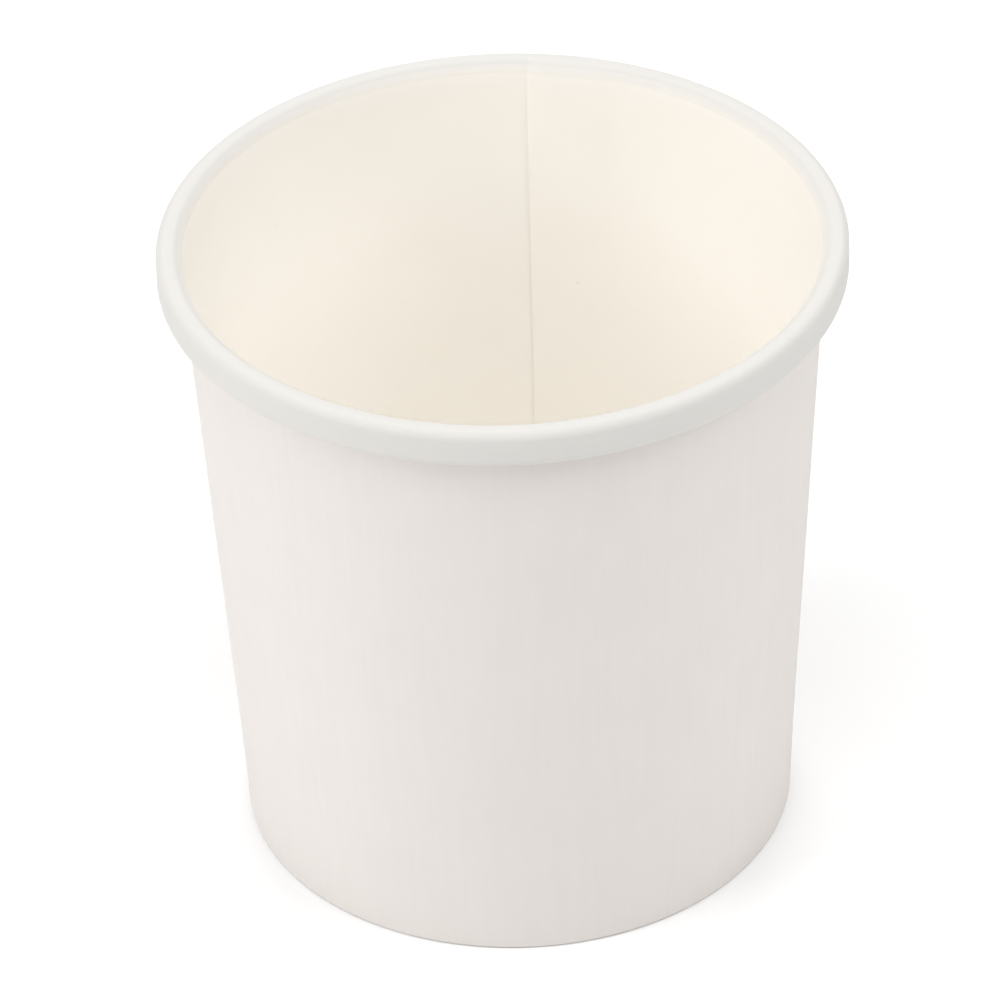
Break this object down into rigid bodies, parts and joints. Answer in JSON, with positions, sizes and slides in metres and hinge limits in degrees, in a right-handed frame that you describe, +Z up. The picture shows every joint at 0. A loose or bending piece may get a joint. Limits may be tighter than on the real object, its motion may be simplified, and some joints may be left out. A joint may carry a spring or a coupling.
{
  "type": "paper sundae cup",
  "caption": "Round tapered paper food cup with a rolled rim, a lapped side seam and a recessed flanged bottom disc.",
  "frame": {"origin": "centre of the ring that the foot stands on, on the cup's axis", "axes": "+Z up along the cup's axis to the open mouth; the side seam is at the back, near +Y"},
  "size_m": [0.098, 0.098, 0.0965],
  "materials": {
    "wall_board": "satin",
    "disc_board": "satin"
  },
  "bodies": {
    "root": {"side_wall": "wall_board", "bottom_disc": "disc_board"}
  },
  "joints": []
}
